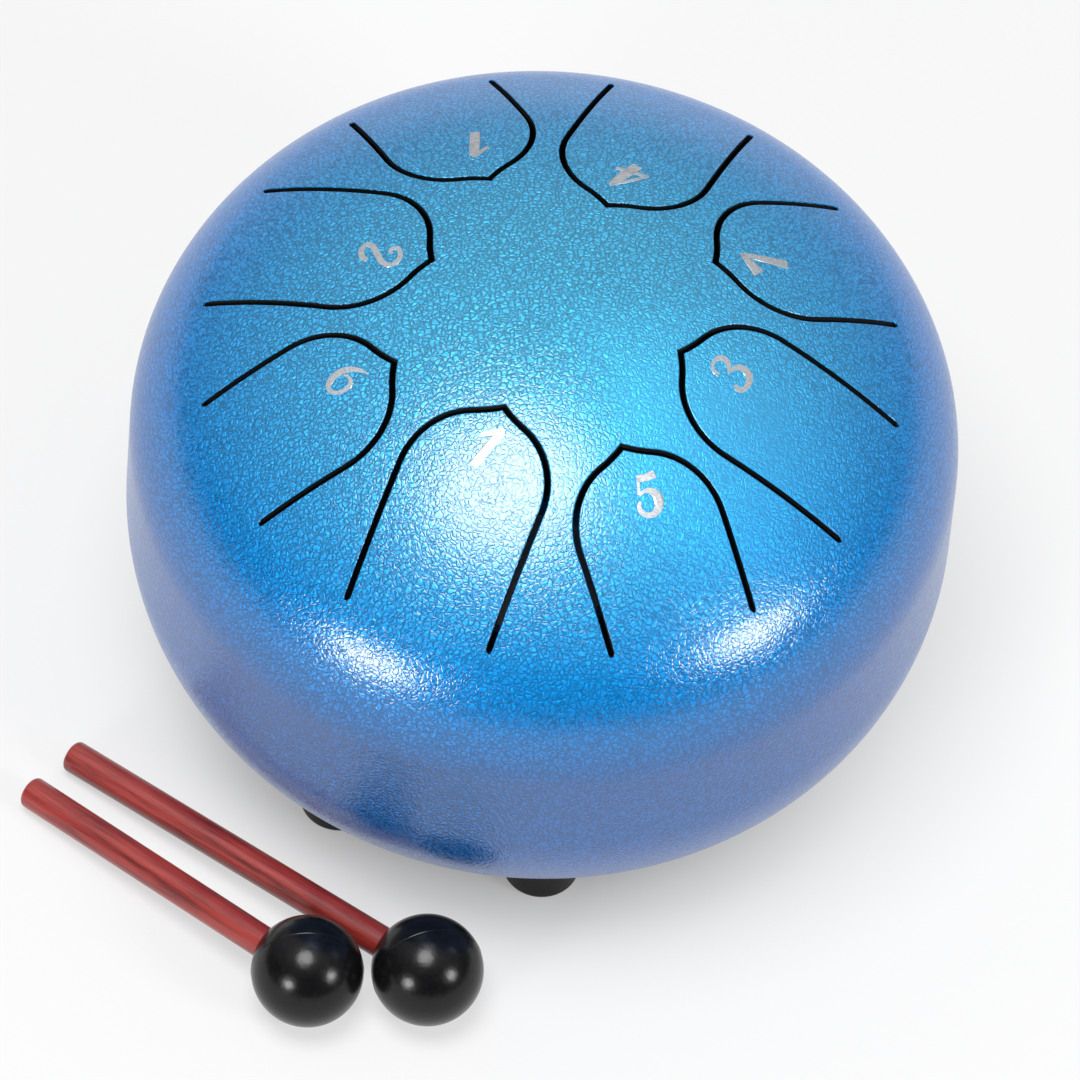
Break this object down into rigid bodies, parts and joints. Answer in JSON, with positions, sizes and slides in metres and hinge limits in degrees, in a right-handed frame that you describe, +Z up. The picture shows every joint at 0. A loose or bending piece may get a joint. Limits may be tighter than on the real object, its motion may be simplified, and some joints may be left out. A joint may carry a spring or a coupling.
{
  "type": "steel tongue drum",
  "caption": "Round steel tongue drum with a slotted domed top, numbered pointed tongues, a sound hole underneath and rubber feet, with ball-headed wooden mallets lying beside it.",
  "frame": {"origin": "on the drum's axis, in the plane of the undersides of its feet", "axes": "+Z up along the drum's axis; -Y towards the player and the mallets; +X to the player's right"},
  "size_m": [0.1696, 0.1749, 0.1126],
  "materials": {
    "drum_paint": "metallic blue hammered paint, glossy",
    "foot_rubber": "satin moulded rubber",
    "fastener_steel": "zinc plated",
    "stick_wood": "red-brown varnish",
    "ball_rubber": "matt moulded rubber"
  },
  "bodies": {
    "drum": {"top_shell": "drum_paint", "bottom_shell": "drum_paint", "foot_1": "foot_rubber", "foot_2": "foot_rubber", "foot_3": "foot_rubber", "foot_4": "foot_rubber", "foot_5": "foot_rubber", "foot_6": "foot_rubber", "foot_7": "foot_rubber", "foot_8": "foot_rubber", "foot_washers": "fastener_steel", "foot_screws": "fastener_steel", "foot_nuts": "fastener_steel"},
    "tongue_1_low": {"tongue_1_low": "drum_paint"},
    "tongue_5": {"tongue_5": "drum_paint"},
    "tongue_3": {"tongue_3": "drum_paint"},
    "tongue_7": {"tongue_7": "drum_paint"},
    "tongue_4": {"tongue_4": "drum_paint"},
    "tongue_1_high": {"tongue_1_high": "drum_paint"},
    "tongue_2": {"tongue_2": "drum_paint"},
    "tongue_6": {"tongue_6": "drum_paint"},
    "mallet_1": {"mallet_1_stick": "stick_wood", "mallet_1_ball": "ball_rubber"},
    "mallet_2": {"mallet_2_stick": "stick_wood", "mallet_2_ball": "ball_rubber"}
  },
  "joints": [
    {"name": "tongue_1_low_flex", "type": "hinge", "parent": "drum", "child": "tongue_1_low", "pos_m": [-0.01996, -0.05999, 0.09098], "axis": [0.9489, -0.3156, 0], "range_deg": [-1, 1], "stiffness_Nm_per_rad": 2},
    {"name": "tongue_5_flex", "type": "hinge", "parent": "drum", "child": "tongue_5", "pos_m": [0.02831, -0.05653, 0.09098], "axis": [0.8942, 0.4478, 0], "range_deg": [-1, 1], "stiffness_Nm_per_rad": 2},
    {"name": "tongue_3_flex", "type": "hinge", "parent": "drum", "child": "tongue_3", "pos_m": [0.05999, -0.01996, 0.09098], "axis": [0.3156, 0.9489, 0], "range_deg": [-1, 1], "stiffness_Nm_per_rad": 2},
    {"name": "tongue_7_flex", "type": "hinge", "parent": "drum", "child": "tongue_7", "pos_m": [0.05653, 0.02831, 0.09098], "axis": [-0.4478, 0.8942, 0], "range_deg": [-1, 1], "stiffness_Nm_per_rad": 2},
    {"name": "tongue_4_flex", "type": "hinge", "parent": "drum", "child": "tongue_4", "pos_m": [0.01996, 0.05999, 0.09098], "axis": [-0.9489, 0.3156, 0], "range_deg": [-1, 1], "stiffness_Nm_per_rad": 2},
    {"name": "tongue_1_high_flex", "type": "hinge", "parent": "drum", "child": "tongue_1_high", "pos_m": [-0.02831, 0.05653, 0.09098], "axis": [-0.8942, -0.4478, 0], "range_deg": [-1, 1], "stiffness_Nm_per_rad": 2},
    {"name": "tongue_2_flex", "type": "hinge", "parent": "drum", "child": "tongue_2", "pos_m": [-0.05999, 0.01996, 0.09098], "axis": [-0.3156, -0.9489, 0], "range_deg": [-1, 1], "stiffness_Nm_per_rad": 2},
    {"name": "tongue_6_flex", "type": "hinge", "parent": "drum", "child": "tongue_6", "pos_m": [-0.05653, -0.02831, 0.09098], "axis": [0.4478, -0.8942, 0], "range_deg": [-1, 1], "stiffness_Nm_per_rad": 2},
    {"name": "mallet_1_pick_up", "type": "slide", "parent": "drum", "child": "mallet_1", "axis": [-0.2896, -0.4076, 0.866], "range_m": [0, 0.08]},
    {"name": "mallet_2_pick_up", "type": "slide", "parent": "drum", "child": "mallet_2", "axis": [0.7985, -0.5166, 0.309], "range_m": [0, 0.1]}
  ]
}
